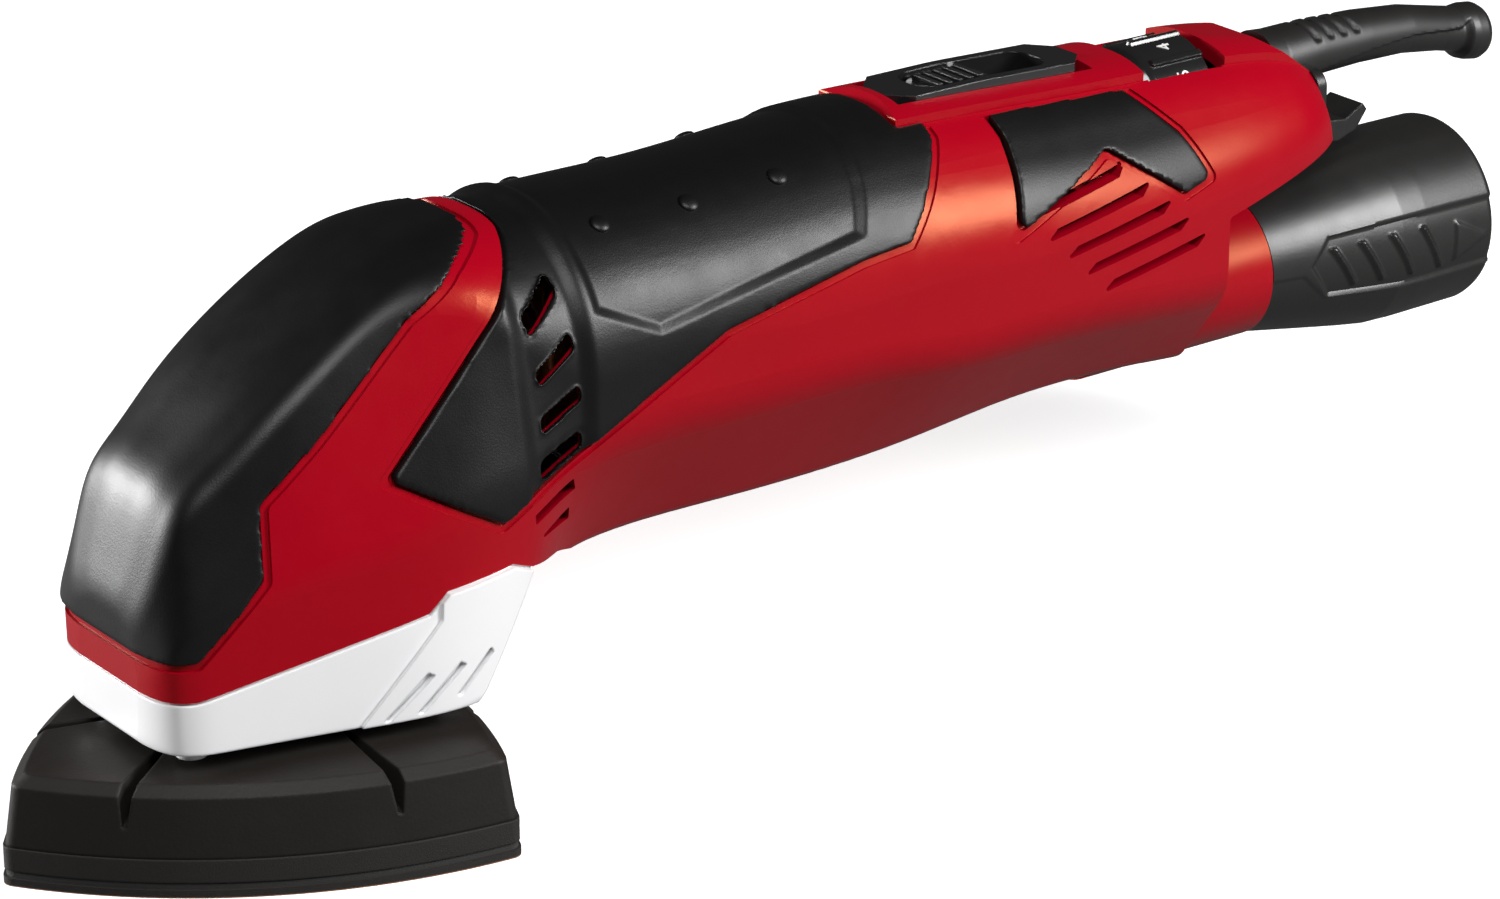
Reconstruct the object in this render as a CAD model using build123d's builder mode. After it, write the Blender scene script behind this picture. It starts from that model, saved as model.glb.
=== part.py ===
from build123d import *
from math import atan2, cos, pi, radians, sin, sqrt, tan
import os

# Delta sander with a lying motor.  Millimetres.  The origin is the centre of the
# abrasive face, +X runs to the cable end, +Z up, and the tool is symmetric about Y = 0.

# ---- driving sizes ----
WALL = 3.0                    # housing wall
GRIP_DEPTH = 1.5              # how deep a soft grip is let into the wall
GRIP_PROUD = 0.7              # how far it stands out of the wall
GRIP_GAP = 0.45               # groove round each grip
LIP_WIDTH = 1.2               # sunk border in the shell round each grip
LIP_DEPTH = 0.5
SLIP = 0.05                   # radial running clearance of a turning fit
SEAT = 0.1                    # clearance of a piece seated in the housing
MOTOR_Z = 79.5                # height of the motor axis
MOTOR_SHAFT_R = 4.0
SPINDLE_R = 5.0
JOURNAL_R = 4.0               # eccentric journal that carries the pad bearing
ORBIT = 1.0                   # eccentric offset, half of the orbit
PAD_SIDE = 95.0               # tip to tip
PAD_BOW = 10.5                # how far each side bows out
PAD_BAND = 7.5                # sheet, hook layer and foam together
PAD_WALL_TOP = 19.0
PAD_HUB_Z = 24.5
BASE_BOTTOM = 25.5            # underside of the silver base cover
BASE_WALL = 2.4
HUB_R = 12.5
PORT_Z = 56.2                 # height of the dust port axis
PORT_HOSE_R = 18.0            # bore of the adapter, for a 36 mm hose end
PORT_SPIGOT_R = 13.0
COLLAR_R = 15.5
COLLAR_END = 241.0
ADAPTER_END = 300.8
CABLE_R = 3.5                 # cable bore of the bend sleeve
SLEEVE_START = 247.0
SLEEVE_ROOT_R = 7.4
SLEEVE_Z = 98.6
SLEEVE_END = 312.5
COVER_HALF = 12.2             # half width of the top cover
COVER_FRONT = 142.0
DIAL_X = 217.0
DIAL_R = 13.0
DIAL_Z = 97.1
DIAL_LENGTH = 18.0
SWITCH_X = 171.0
PINION_TEETH = 14
GEAR_TEETH = 21
CONE_DISTANCE = 19.0          # from the crossing of the two gear axes to the tooth ends

# Housing stations from nose to cable end: x, then the four corners of the right half
# from top to bottom, each with its half width, height and rounding.
STATIONS = [
    (-30.8, (4.4, 49.0, 3), (9.0, 47.0, 3), (10.5, 38.0, 3), (9.8, 26.0, 2)),
    (-30.2, (5.0, 52.5, 6), (11.5, 50.3, 4), (15.0, 41.0, 5), (14.4, 25.2, 2)),
    (-28.8, (6.0, 57.0, 9), (13.0, 54.8, 5), (18.6, 44.0, 6), (18.2, 24.6, 2)),
    (-26.4, (6.6, 64.5, 14), (14.2, 62.0, 5), (20.6, 47.5, 8), (20.6, 24.2, 2)),
    (-23.0, (7.0, 72.2, 18), (15.4, 69.8, 5), (22.0, 50.0, 9), (22.2, 24.0, 2)),
    (-17.4, (7.6, 78.0, 20), (16.7, 75.3, 6), (23.4, 52.0, 12), (23.6, 24.0, 2)),
    (-8.0, (8.6, 86.5, 22), (18.5, 83.2, 6), (25.6, 55.0, 14), (25.8, 24.0, 2)),
    (5.0, (9.5, 96.0, 24), (19.5, 92.8, 6), (28.5, 58.0, 18), (29.0, 24.0, 2)),
    (20.0, (10.0, 104.5, 24), (19.5, 101.3, 7), (31.5, 62.0, 22), (32.0, 24.0, 2)),
    (32.0, (10.6, 108.5, 26), (22.0, 103.4, 12), (32.3, 66.0, 26), (32.0, 26.0, 2)),
    (44.0, (12.0, 109.5, 28), (26.0, 98.2, 24), (31.2, 67.0, 26), (28.0, 34.0, 2)),
    (54.0, (12.0, 109.7, 29), (28.6, 93.4, 28), (29.8, 67.5, 22), (20.0, 40.5, 3)),
    (66.0, (12.0, 109.7, 29), (29.2, 92.6, 28), (29.0, 68.0, 20), (15.0, 41.8, 4)),
    (95.0, (12.0, 109.7, 29), (29.0, 92.4, 27), (28.6, 68.0, 18), (13.0, 41.5, 4)),
    (128.0, (12.3, 111.3, 29), (29.7, 93.6, 28), (29.5, 68.0, 16), (12.0, 41.0, 4)),
    (146.0, (12.3, 111.2, 29), (30.0, 93.6, 26), (30.0, 66.0, 14), (12.2, 42.2, 4)),
    (170.0, (12.3, 110.0, 28), (30.5, 93.0, 24), (30.5, 66.0, 14), (13.0, 45.0, 5)),
    (205.0, (12.5, 108.5, 26), (29.5, 91.5, 22), (29.5, 64.0, 14), (14.0, 45.0, 6)),
    (235.0, (12.5, 107.0, 24), (26.0, 92.5, 18), (26.0, 66.0, 14), (14.0, 45.0, 6)),
    (252.0, (10.0, 103.0, 20), (20.0, 90.0, 14), (20.0, 68.0, 12), (12.0, 50.0, 6)),
]
NOSE_BLEND = (-23.0, 5.0)     # the nose stations also move along x when the form is inset
TAIL_X = STATIONS[-1][0]

os.makedirs("parts", exist_ok=True)


def save(shape, name):
    shape.label = name
    export_step(shape, f"parts/{name}.step")


# ---- the housing form ----
def inset_outline(corners, inset):
    """Moves every edge of a convex outline inwards and returns its new corners."""
    moved = []
    for before, here, after in zip(corners[-1:] + corners[:-1], corners, corners[1:] + corners[:1]):
        edge_in = (Vector(*here) - Vector(*before)).normalized()
        edge_out = (Vector(*after) - Vector(*here)).normalized()
        normal_in = Vector(-edge_in.Y, edge_in.X)
        bisector = normal_in + Vector(-edge_out.Y, edge_out.X)
        moved.append(Vector(*here) + bisector * (inset / bisector.dot(normal_in)))
    return moved


def fitted_radii(points, radii):
    """Limits each rounding so that two neighbours never meet along their edge."""
    count = len(points)
    edges = [points[(i + 1) % count] - points[i] for i in range(count)]
    halves = [tan(radians(edges[i - 1].get_angle(edges[i])) / 2) for i in range(count)]
    tangents = [radius * half for radius, half in zip(radii, halves)]
    for i in range(count):
        after = (i + 1) % count
        share = min(1.0, 0.96 * edges[i].length / (tangents[i] + tangents[after]))
        tangents[i] *= share
        tangents[after] *= share
    return [tangent / half for tangent, half in zip(tangents, halves)]


def section_face(station, inset):
    x, corners = station[0], station[1:]
    towards_nose = min(1.0, max(0.0, (NOSE_BLEND[1] - x) / (NOSE_BLEND[1] - NOSE_BLEND[0])))
    x += inset * towards_nose - (inset if x == TAIL_X else 0.0)
    right = [(half, height) for half, height, _ in reversed(corners)]
    left = [(-half, height) for half, height, _ in corners]
    outline = inset_outline(right + left, inset)
    rounding = [r for _, _, r in reversed(corners)] + [r for _, _, r in corners]
    radii = fitted_radii(outline, [max(r - inset, 0.5) for r in rounding])
    with BuildSketch(Plane(origin=(x, 0, 0), x_dir=(0, 1, 0), z_dir=(1, 0, 0))) as face:
        with BuildLine():
            FilletPolyline([(p.X, p.Y) for p in outline], radius=radii, close=True)
        make_face()
    return face.sketch


def housing_form(inset):
    """The whole outer form of head, neck and tail, moved inwards by inset."""
    with BuildPart() as form:
        loft(sections=[section_face(station, inset) for station in STATIONS])
    return form.part


OUTER = housing_form(0)
INNER = housing_form(WALL)
GRIP_FLOOR = housing_form(GRIP_DEPTH)
GRIP_OUTER = housing_form(-GRIP_PROUD)
SEATED = housing_form(WALL + SEAT)


def side_prism(points, rounding, inset=0.0, half_width=60.0):
    """A block with an outline drawn in side view, running right across the tool."""
    with BuildPart() as prism:
        with BuildSketch(Plane.XZ):
            with BuildLine():
                Polyline(points, close=True)
            make_face()
            if inset:
                offset(amount=-inset, kind=Kind.INTERSECTION)
            fillet(vertices(), radius=rounding)
        extrude(amount=half_width, both=True)
    return prism.part


def block(x0, x1, y0, y1, z0, z1):
    """A plain block from its limits."""
    with BuildPart() as box:
        with Locations(((x0 + x1) / 2, (y0 + y1) / 2, (z0 + z1) / 2)):
            Box(x1 - x0, y1 - y0, z1 - z0)
    return box.part


def rod(x0, x1, radius, bore=0.0, y=0.0, z=MOTOR_Z):
    """A round bar or ring along X."""
    with BuildPart() as bar:
        with BuildSketch(Plane(origin=(x0, y, z), z_dir=(1, 0, 0))):
            Circle(radius)
            if bore:
                Circle(bore, mode=Mode.SUBTRACT)
        extrude(amount=x1 - x0)
    return bar.part


def post(z0, z1, radius, bore=0.0, x=0.0, y=0.0):
    """A round bar or ring along Z."""
    with BuildPart() as bar:
        with BuildSketch(Plane.XY.offset(z0)):
            with Locations((x, y)):
                Circle(radius)
                if bore:
                    Circle(bore, mode=Mode.SUBTRACT)
        extrude(amount=z1 - z0)
    return bar.part


# ---- outlines in side view ----
CAP_OUTLINE = [(-60, 42.4), (-24.6, 43.2), (-11.2, 57), (-9.7, 70.5), (1.8, 80),
               (22.7, 98.5), (34.5, 105.3), (44.0, 109), (47, 140), (-60, 140)]
NECK_OUTLINE = [(13.0, 71.2), (35.1, 58.7), (57, 68.1), (89.2, 83.7), (122, 90.2),
                (133.5, 91.4), (139.1, 97.2), (148.5, 107), (151, 140), (50, 140),
                (49.5, 108), (43.1, 101.6)]
REAR_GRIP_OUTLINE = [(158.6, 87.5), (161, 96), (163.5, 104), (163.5, 140), (199.4, 140),
                     (199.4, 106), (206.9, 98), (211.1, 89), (203.3, 86.9), (186.1, 98.4)]
SEAM_OUTLINE = [(-60, 36), (-25, 36), (18.7, 45.5), (22.5, 49.1), (37.3, 50.6),
                (42.9, 48.1), (43.2, 46.5), (43.2, 0), (-60, 0)]
UNDERCUT_OUTLINE = [(28.3, 0), (28.3, 25.5), (30.3, 27.9), (42.9, 48.1), (54, 45.5),
                    (66, 40.5), (66, 0)]
THROAT_OUTLINE = [(38, 50), (42.9, 48.1), (54, 45.5), (66, 40.5), (66, 45), (55, 48.6),
                  (43.6, 51.2), (38, 53)]
TAIL_FLOOR_OUTLINE = [(210, 77), (250, 84.7), (250, 88), (210, 80.6)]
TAIL_CUT_OUTLINE = [(216, 0), (216, 79.3), (245, 85), (262, 88), (262, 0)]

cap_prism = side_prism(CAP_OUTLINE, 2.0)
neck_prism = side_prism(NECK_OUTLINE, 1.2)
rear_grip_prism = side_prism(REAR_GRIP_OUTLINE, 1.5)
below_seam = side_prism(SEAM_OUTLINE, 0.5)
undercut = side_prism(UNDERCUT_OUTLINE, 0.5)
tail_cut = side_prism(TAIL_CUT_OUTLINE, 1.0)
cover_slot = block(COVER_FRONT - 0.2, 300, -COVER_HALF - 0.2, COVER_HALF + 0.2, 92, 140)
dial_slot = block(DIAL_X - DIAL_LENGTH / 2 - 1, DIAL_X + DIAL_LENGTH / 2 + 1, -12.8, 12.8, 95, 140)
beside_cover = block(100, 300, -COVER_HALF - 1.2, COVER_HALF + 1.2, 60, 140)


# ---- air slots, as prisms in side view ----
NECK_VENTS = [[(45.3, 91.7), (53.7, 97.6), (52.6, 101.4), (44.0, 95.8)],
              [(46.0, 82.0), (54.4, 87.9), (53.5, 91.5), (45.4, 85.4)],
              [(45.4, 73.2), (55.0, 77.8), (54.6, 81.4), (45.5, 76.4)],
              [(44.6, 64.7), (54.8, 69.0), (54.8, 72.3), (44.5, 68.3)]]
LOW_VENTS = [[(43.4, 56.3), (54.9, 59.6), (53.6, 62.4), (43.2, 58.4)],
             [(43.6, 52.6), (55.2, 52.6), (54.4, 55.6), (52.0, 54.9)]]
TAIL_VENT_COUNT = 5
TAIL_VENT_PITCH = (4.9, -4.55)
TAIL_VENT = [(161, 89.6), (187, 93.6), (190, 96.2), (164, 92.0)]
TAIL_VENTS = [[(x + i * TAIL_VENT_PITCH[0], z + i * TAIL_VENT_PITCH[1]) for x, z in TAIL_VENT]
              for i in range(TAIL_VENT_COUNT)]
VENT_RELIEF = 1.0             # the shell is cut back behind the vents of the soft grip
grip_vents = [side_prism(outline, 0.5) for outline in NECK_VENTS]
shell_vents = [side_prism(outline, 0.5, -VENT_RELIEF) for outline in NECK_VENTS]
shell_vents += [side_prism(outline, 0.4) for outline in LOW_VENTS + TAIL_VENTS]

# ---- housing screws: side-view places, driven in from the right side ----
SCREW_PLACES = [(-5, 79), (32, 101), (119, 99), (143, 62), (197, 77.5)]
SCREW_R = 1.5
SCREW_HEAD_R = 3.2
BOSS_R = 4.2
SCREW_SEAT_Y = 10.0
SCREW_TIP_Y = -9.0

# ---- housing shells ----
with BuildPart() as housing:
    add(OUTER)
    add(INNER, mode=Mode.SUBTRACT)
    for x, z in SCREW_PLACES:
        with BuildPart(mode=Mode.PRIVATE) as boss:
            with BuildSketch(Plane.XZ):
                with Locations((x, z)):
                    Circle(BOSS_R)
            extrude(amount=60, both=True)
            add(OUTER, mode=Mode.INTERSECT)
        add(boss.part)
    add(undercut, mode=Mode.SUBTRACT)
    with BuildPart(mode=Mode.PRIVATE) as throat_floor:
        add(INNER)
        add(side_prism(THROAT_OUTLINE, 0.3), mode=Mode.INTERSECT)
    add(throat_floor.part)
    add(below_seam, mode=Mode.SUBTRACT)
    add(tail_cut, mode=Mode.SUBTRACT)
    with BuildPart(mode=Mode.PRIVATE) as tail_wall:
        add(INNER)
        add(side_prism(TAIL_FLOOR_OUTLINE, 0.2), mode=Mode.INTERSECT)
    add(tail_wall.part)
    with BuildPart(mode=Mode.PRIVATE) as tail_bulkhead:
        add(INNER)
        add(block(213, 216, -40, 40, 30, 80), mode=Mode.INTERSECT)
    add(tail_bulkhead.part)
    add(rod(196, COLLAR_END, COLLAR_R, z=PORT_Z))
    add(rod(COLLAR_END - 1, COLLAR_END + 17, PORT_SPIGOT_R, z=PORT_Z))
    add(rod(190, COLLAR_END + 20, PORT_SPIGOT_R - 1.5, z=PORT_Z), mode=Mode.SUBTRACT)
    with BuildPart(mode=Mode.PRIVATE) as borders:
        add(side_prism(CAP_OUTLINE, 2.0, -LIP_WIDTH))
        add(side_prism(NECK_OUTLINE, 1.2, -LIP_WIDTH))
        add(side_prism(REAR_GRIP_OUTLINE, 1.5, -LIP_WIDTH))
        add(housing_form(LIP_DEPTH), mode=Mode.SUBTRACT)
        add(beside_cover, mode=Mode.SUBTRACT)
    add(borders.part, mode=Mode.SUBTRACT)
    for prism in (cap_prism, neck_prism):
        with BuildPart(mode=Mode.PRIVATE) as pocket:
            add(prism)
            add(GRIP_FLOOR, mode=Mode.SUBTRACT)
        add(pocket.part, mode=Mode.SUBTRACT)
    with BuildPart(mode=Mode.PRIVATE) as rear_pocket:
        add(rear_grip_prism)
        add(GRIP_FLOOR, mode=Mode.SUBTRACT)
        add(beside_cover, mode=Mode.SUBTRACT)
    add(rear_pocket.part, mode=Mode.SUBTRACT)
    add(cover_slot, mode=Mode.SUBTRACT)
    add(dial_slot, mode=Mode.SUBTRACT)
    for cutter in shell_vents:
        add(cutter, mode=Mode.SUBTRACT)
    add(rod(SLEEVE_START - 1, 300, SLEEVE_ROOT_R + 0.2, z=SLEEVE_Z), mode=Mode.SUBTRACT)
    for x, z in SCREW_PLACES:
        with BuildSketch(Plane(origin=(x, SCREW_TIP_Y - 1, z), z_dir=(0, 1, 0))):
            Circle(SCREW_R + SEAT)
        extrude(amount=60, mode=Mode.SUBTRACT)
        with BuildSketch(Plane(origin=(x, SCREW_SEAT_Y, z), z_dir=(0, 1, 0))):
            Circle(SCREW_HEAD_R + 0.2)
        extrude(amount=60, mode=Mode.SUBTRACT)

with BuildPart() as housing_left:
    add(housing.part)
    add(block(-80, 400, 0, 80, -10, 160), mode=Mode.SUBTRACT)
save(housing_left.part, "housing_left")

with BuildPart() as housing_right:
    add(housing.part)
    add(block(-80, 400, -80, 0, -10, 160), mode=Mode.SUBTRACT)
save(housing_right.part, "housing_right")

# ---- soft grips, moulded into the pockets ----
with BuildPart() as head_cap:
    add(GRIP_OUTER)
    add(side_prism(CAP_OUTLINE, 2.0, GRIP_GAP), mode=Mode.INTERSECT)
    add(GRIP_FLOOR, mode=Mode.SUBTRACT)
save(head_cap.part, "head_cap")

with BuildPart() as neck_grip:
    add(GRIP_OUTER)
    add(side_prism(NECK_OUTLINE, 1.2, GRIP_GAP), mode=Mode.INTERSECT)
    add(GRIP_FLOOR, mode=Mode.SUBTRACT)
    add(cover_slot, mode=Mode.SUBTRACT)
    for cutter in grip_vents:
        add(cutter, mode=Mode.SUBTRACT)
for side, name in ((1, "neck_grip_left"), (-1, "neck_grip_right")):
    with BuildPart() as half_grip:
        add(neck_grip.part)
        add(block(-80, 400, *sorted((0, side * 80)), -10, 160), mode=Mode.SUBTRACT)
    save(half_grip.part, name)

with BuildPart() as rear_grips:
    add(GRIP_OUTER)
    add(side_prism(REAR_GRIP_OUTLINE, 1.5, GRIP_GAP), mode=Mode.INTERSECT)
    add(GRIP_FLOOR, mode=Mode.SUBTRACT)
    add(block(100, 300, -COVER_HALF - 1.6, COVER_HALF + 1.6, 60, 140), mode=Mode.SUBTRACT)
for side, name in ((1, "rear_grip_left"), (-1, "rear_grip_right")):
    with BuildPart() as one_grip:
        add(rear_grips.part)
        add(block(-80, 400, *sorted((0, side * 80)), -10, 160), mode=Mode.SUBTRACT)
    save(one_grip.part, name)

# ---- top cover with the switch and dial openings ----
COVER_PROUD = 1.5
COVER_SLOPE = [(COVER_FRONT, 90), (COVER_FRONT, 110.5), (COVER_FRONT + 3, 113.5), (170, 112),
               (204, 110.6), (230, 109), (241, 107.4), (262, 92), (262, 90)]
SWITCH_HALF_LENGTH = 25.0
SWITCH_HALF_WIDTH = 8.0
with BuildPart() as cover_skin:
    add(housing_form(-COVER_PROUD))
    add(block(COVER_FRONT, TAIL_X, -COVER_HALF, COVER_HALF, 92.2, 140), mode=Mode.INTERSECT)
    add(side_prism(COVER_SLOPE, 1.0), mode=Mode.INTERSECT)
    add(housing_form(WALL - 0.8), mode=Mode.SUBTRACT)

with BuildPart() as top_cover:
    add(cover_skin.part)
    add(block(DIAL_X - DIAL_LENGTH / 2 - 2, 300, -40, 40, 80, 140), mode=Mode.SUBTRACT)
    add(block(SWITCH_X - SWITCH_HALF_LENGTH, SWITCH_X + SWITCH_HALF_LENGTH,
              -SWITCH_HALF_WIDTH, SWITCH_HALF_WIDTH, 90, 130), mode=Mode.SUBTRACT)
save(top_cover.part, "top_cover")

with BuildPart() as tail_cover:
    add(cover_skin.part)
    add(block(100, DIAL_X + DIAL_LENGTH / 2 + 2, -40, 40, 80, 140), mode=Mode.SUBTRACT)
    add(rod(SLEEVE_START - 1, 300, SLEEVE_ROOT_R + 0.2, z=SLEEVE_Z), mode=Mode.SUBTRACT)
save(tail_cover.part, "tail_cover")

# ---- switch: bezel, slider and the block beneath ----
BEZEL_TOP = 112.6
SLIDER_HALF = 8.5
SLIDER_TRAVEL = 6.0
SLIDER_X = SWITCH_X - 6.0     # rest place, off position
with BuildPart() as switch_bezel:
    with BuildSketch(Plane.XY.offset(104)):
        with Locations((SWITCH_X, 0)):
            Rectangle(2 * SWITCH_HALF_LENGTH - 0.3, 2 * SWITCH_HALF_WIDTH - 0.3)
        chamfer(vertices(), 4.5)
    extrude(amount=BEZEL_TOP - 104)
    with BuildSketch(Plane.XY.offset(103)):
        with Locations((SWITCH_X, 0)):
            Rectangle(2 * (SLIDER_HALF + SLIDER_TRAVEL + 2), 11.4)
        fillet(vertices(), 4.5)
    extrude(amount=20, mode=Mode.SUBTRACT)
    add(side_prism([(130, 60), (130, 113.6), (170, 112.5), (205, 111.1), (205, 60)], 0.2),
        mode=Mode.INTERSECT)
save(switch_bezel.part, "switch_bezel")

SLIDER_RIBS = 5
with BuildPart() as switch_slider:
    with BuildSketch(Plane.XY.offset(103.2)):
        with Locations((SLIDER_X, 0)):
            Rectangle(2 * SLIDER_HALF, 10.6)
        fillet(vertices(), 4.0)
    extrude(amount=BEZEL_TOP - 103.2 - 1.4)
    for i in range(SLIDER_RIBS):
        rib_x = SLIDER_X + (i - (SLIDER_RIBS - 1) / 2) * 2.6
        with Locations((rib_x, 0, BEZEL_TOP - 0.9)):
            Box(1.1, 8.4, 1.4)
    with Locations((SLIDER_X, 0, 101.2)):
        Box(4.0, 4.0, 4.6)
save(switch_slider.part, "switch_slider")

with BuildPart() as switch_block:
    with Locations((SWITCH_X + 1, 0, 93.2)):
        Box(24, 16, 11)
    with Locations((SWITCH_X + 1, 0, 100.0)):
        Box(22, 10, 3.4)
    with Locations((SLIDER_X + SLIDER_TRAVEL / 2, 0, 100)):
        Box(4.0 + SLIDER_TRAVEL + 1.2, 4.8, 6.2, mode=Mode.SUBTRACT)
save(switch_block.part, "switch_block")

# ---- speed dial and its board ----
DIAL_RIDGES = 30
with BuildPart() as speed_dial:
    add(rod(DIAL_X - DIAL_LENGTH / 2, DIAL_X + DIAL_LENGTH / 2, DIAL_R - 0.7, z=DIAL_Z))
    add(rod(DIAL_X - DIAL_LENGTH / 2 + 2, DIAL_X + DIAL_LENGTH / 2 + 1, DIAL_R - 3, z=DIAL_Z),
        mode=Mode.SUBTRACT)
    add(rod(DIAL_X - DIAL_LENGTH / 2, DIAL_X + DIAL_LENGTH / 2, 5.0, z=DIAL_Z))
    add(rod(DIAL_X - 30, DIAL_X + 30, 2.5 + SLIP, z=DIAL_Z), mode=Mode.SUBTRACT)
    for i in range(DIAL_RIDGES):
        angle = 2 * pi * i / DIAL_RIDGES
        ridge_plane = Plane(origin=(DIAL_X - DIAL_LENGTH / 2 + 6.5, (DIAL_R - 0.8) * sin(angle),
                                    DIAL_Z + (DIAL_R - 0.8) * cos(angle)), z_dir=(1, 0, 0))
        with BuildSketch(ridge_plane):
            Circle(0.8)
        extrude(amount=DIAL_LENGTH - 6.5)
save(speed_dial.part, "speed_dial")

with BuildPart() as dial_pin:
    add(rod(DIAL_X - DIAL_LENGTH / 2 - 4, DIAL_X + DIAL_LENGTH / 2 + 3, 2.5, z=DIAL_Z))
save(dial_pin.part, "dial_pin")

with BuildPart() as speed_board:
    with Locations((DIAL_X - DIAL_LENGTH / 2 - 4.8, 0, DIAL_Z - 3)):
        Box(1.6, 24, 14)
    with Locations((DIAL_X - DIAL_LENGTH / 2 - 7.6, -9, DIAL_Z - 5), (DIAL_X - DIAL_LENGTH / 2 - 7.6, 9, DIAL_Z - 5)):
        Box(4, 8, 8)
save(speed_board.part, "speed_board")

# ---- silver base cover ----
BASE_OPENING_R = HUB_R + ORBIT + 2.5
FEET = [(-16.5, 7.5), (-16.5, -7.5), (17.5, 0.0)]
FOOT_R = 3.2
FOOT_HOLE_R = FOOT_R + ORBIT + 1.2
BASE_SCREWS = [(24.0, 15.0), (24.0, -15.0)]
MARK_DEPTH = 0.6              # depth of the seam groove and of the decorative slots
RAISED_OUTLINE = [(3.8, 20.0), (5.0, 26.0), (21.0, 43.8), (22.0, 60.0), (70.0, 60.0), (70.0, 20.0)]
SIDE_MARKS = [[(17.7, 34.2), (19.2, 33.4), (10.2, 25.9), (8.6, 25.9)],
              [(24.4, 34.9), (25.8, 34.1), (16.6, 26.4), (15.1, 26.4)],
              [(31.2, 36.0), (31.9, 34.9), (24.6, 28.2), (23.2, 28.2)]]
with BuildPart() as base_marks:
    add(side_prism(SEAM_OUTLINE, 0.4))
    add(side_prism(SEAM_OUTLINE, 0.4, MARK_DEPTH), mode=Mode.SUBTRACT)
    for outline in SIDE_MARKS:
        add(side_prism(outline, 0.3))
    add(housing_form(MARK_DEPTH), mode=Mode.SUBTRACT)
with BuildPart() as base_cover:
    add(OUTER)
    with BuildPart(mode=Mode.PRIVATE) as raised_block:
        add(GRIP_OUTER)
        add(side_prism(RAISED_OUTLINE, 0.4), mode=Mode.INTERSECT)
    add(raised_block.part)
    add(below_seam, mode=Mode.INTERSECT)
    add(base_marks.part, mode=Mode.SUBTRACT)
    add(undercut, mode=Mode.SUBTRACT)
    add(block(-60, 60, -60, 60, 0, BASE_BOTTOM), mode=Mode.SUBTRACT)
    with BuildPart(mode=Mode.PRIVATE) as base_room:
        add(housing_form(BASE_WALL))
        add(block(-60, 60, -60, 60, 0, BASE_BOTTOM + BASE_WALL), mode=Mode.SUBTRACT)
        add(side_prism([(-60, 20), (26.6, 20), (28, 28.4), (40.6, 48.5), (40.6, 80), (-60, 80)], 0.3),
            mode=Mode.INTERSECT)
    add(base_room.part, mode=Mode.SUBTRACT)
    for x, y in BASE_SCREWS:
        add(post(BASE_BOTTOM, 35, 4.0, x=x, y=y))
    with BuildSketch(Plane.XY.offset(BASE_BOTTOM - 1)):
        Circle(BASE_OPENING_R)
        with Locations(*FEET):
            Circle(FOOT_HOLE_R)
        with Locations(*BASE_SCREWS):
            Circle(SCREW_R + SEAT)
    extrude(amount=12, mode=Mode.SUBTRACT)
    with BuildSketch(Plane.XY.offset(BASE_BOTTOM - 1)):
        with Locations(*BASE_SCREWS):
            Circle(SCREW_HEAD_R + 0.2)
    extrude(amount=3.2, mode=Mode.SUBTRACT)
save(base_cover.part, "base_cover")

PLATE_BOTTOM = 35.2
PLATE_TOP = 43.6
with BuildPart() as base_screws:
    for x, y in BASE_SCREWS:
        add(post(BASE_BOTTOM + 0.3, BASE_BOTTOM + 2.2, SCREW_HEAD_R, x=x, y=y))
        add(post(BASE_BOTTOM + 2.2, PLATE_TOP - 2, SCREW_R, x=x, y=y))
save(base_screws.part, "base_screws")

BUMPERS = [(-22.5, 14.5), (-22.5, -14.5)]
with BuildPart() as base_bumpers:
    for x, y in BUMPERS:
        add(post(BASE_BOTTOM - 2.8, BASE_BOTTOM, 3.0, x=x, y=y))
save(base_bumpers.part, "base_bumpers")

with BuildPart() as dust_skirt:
    with BuildSketch(Plane.XY.offset(BASE_BOTTOM - 2.6)):
        with Locations((31, 0)):
            Rectangle(13, 44)
        fillet(vertices(), 3)
    extrude(amount=2.6)
    with Locations((33.2, 0, BASE_BOTTOM - 0.1)):
        Box(4, 30, 2.0)
    add(side_prism([(20, 0), (20, 25.5), (28.6, 25.5), (29.2, 26.4), (40, 26.4), (40, 0)], 0.1),
        mode=Mode.INTERSECT)
save(dust_skirt.part, "dust_skirt")

# ---- bearing plate and gear bracket, shaped to the head ----
BEARING_R = 13.0
LOWER_BEARING = (36.6, 43.0)
UPPER_BEARING = (50.8, 57.0)
BRACKET = (50.2, 57.6)
MOTOR_BEARING = (28.0, 35.0)
MOTOR_BEARING_R = 11.0
with BuildPart() as bearing_plate:
    add(SEATED)
    add(block(-24, 26, -40, 40, PLATE_BOTTOM, PLATE_TOP), mode=Mode.INTERSECT)
    add(post(PLATE_BOTTOM - 1, PLATE_TOP + 1, SPINDLE_R + 4), mode=Mode.SUBTRACT)
    add(post(LOWER_BEARING[0], PLATE_TOP + 1, BEARING_R), mode=Mode.SUBTRACT)
    with BuildSketch(Plane.XY.offset(PLATE_BOTTOM - 1)):
        with Locations(*FEET):
            Circle(FOOT_HOLE_R)
    extrude(amount=6.5, mode=Mode.SUBTRACT)
    for x, y in BASE_SCREWS:
        add(post(PLATE_BOTTOM - 1, PLATE_TOP + 1, SCREW_R, x=x, y=y), mode=Mode.SUBTRACT)
save(bearing_plate.part, "bearing_plate")

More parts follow.
